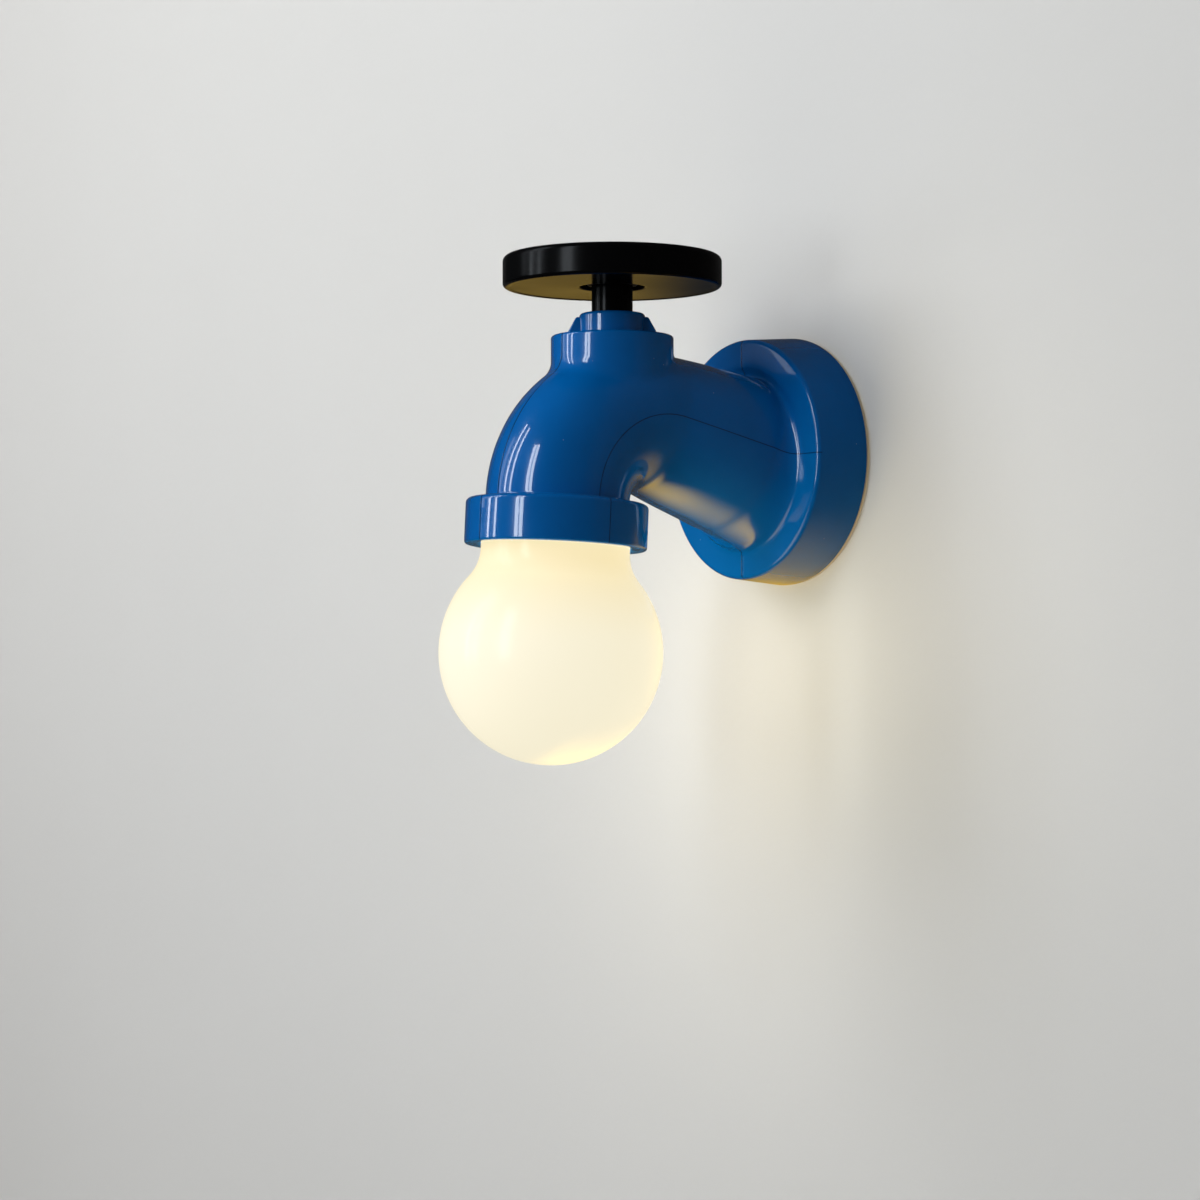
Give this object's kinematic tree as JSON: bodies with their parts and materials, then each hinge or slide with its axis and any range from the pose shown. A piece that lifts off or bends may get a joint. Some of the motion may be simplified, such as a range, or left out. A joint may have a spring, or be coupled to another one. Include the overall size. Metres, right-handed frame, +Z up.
{
  "type": "faucet wall light",
  "caption": "Tap-shaped wall light: round canopy, flared pipe, elbow with collar, opal screw-in globe, and a round handwheel that turns a rotary dimmer.",
  "frame": {"origin": "middle of the wall bracket's slots on the wall plane, at the canopy's centre", "axes": "+Z up, the light projects from the wall towards -Y, +Y points into the wall, +X to the right seen from the room; X = 0 is the plane of symmetry of the outer form"},
  "size_m": [0.1138, 0.183, 0.224],
  "materials": {
    "blue_moulding": "deep glossy blue with fine mould parting lines",
    "black_satin": "black, satin gloss",
    "opal_glass": "opal white glass, lit warm from inside",
    "silicone": "white silicone",
    "foam_seal": "pale foam",
    "black_rubber": "matt",
    "zinc_steel": "zinc plated",
    "brass_contact": "plain",
    "white_plastic": "satin white",
    "bulb_white": "frosted white",
    "wire_brown": "insulation",
    "wire_black": "insulation",
    "wire_blue": "insulation",
    "wire_green": "insulation, green and yellow"
  },
  "bodies": {
    "root": {"faucet_body": "blue_moulding", "bonnet_cap": "blue_moulding", "dimmer_housing": "white_plastic", "dimmer_lock_washer": "zinc_steel", "dimmer_nut": "brass_contact", "holder_strap": "zinc_steel", "strap_screws": "zinc_steel", "holder_nipple": "zinc_steel", "nipple_nut": "brass_contact", "lamp_holder": "white_plastic", "contact_shell": "brass_contact", "centre_contact": "brass_contact", "bulb_tip": "zinc_steel", "bulb_cap": "zinc_steel", "bulb_housing": "white_plastic", "bulb_dome": "bulb_white", "wall_seal": "foam_seal", "wall_bracket": "zinc_steel", "canopy_screws": "zinc_steel", "cable_grommet": "black_rubber", "terminal_block": "white_plastic", "terminal_screws": "zinc_steel", "earth_screw": "brass_contact", "earth_tag": "brass_contact", "live_wire": "wire_brown", "switched_wire": "wire_black", "neutral_wire": "wire_blue", "earth_wire": "wire_green"},
    "wheel": {"handwheel": "black_satin", "wheel_stem": "black_satin", "wheel_washer": "black_satin", "stem_set_screw": "zinc_steel", "dimmer_shaft": "zinc_steel"},
    "globe_carrier": {"globe_gasket": "silicone"},
    "globe": {"glass_globe": "opal_glass"}
  },
  "joints": [
    {"name": "handwheel_turn", "type": "hinge", "parent": "root", "child": "wheel", "pos_m": [0, -0.101, 0.076], "axis": [0, 0, 1], "range_deg": [0, 300]},
    {"name": "globe_drop", "type": "slide", "parent": "root", "child": "globe_carrier", "axis": [0, -0.0523, -0.9986], "range_m": [0, 0.0101]},
    {"name": "globe_turn", "type": "hinge", "parent": "globe_carrier", "child": "globe", "pos_m": [0, -0.128, 0.02586], "axis": [0, -0.0523, -0.9986], "range_deg": [0, 720]}
  ],
  "couplings": [
    {"joint": "globe_drop", "follows": "globe_turn", "m_per_rad": 0.00079577}
  ]
}
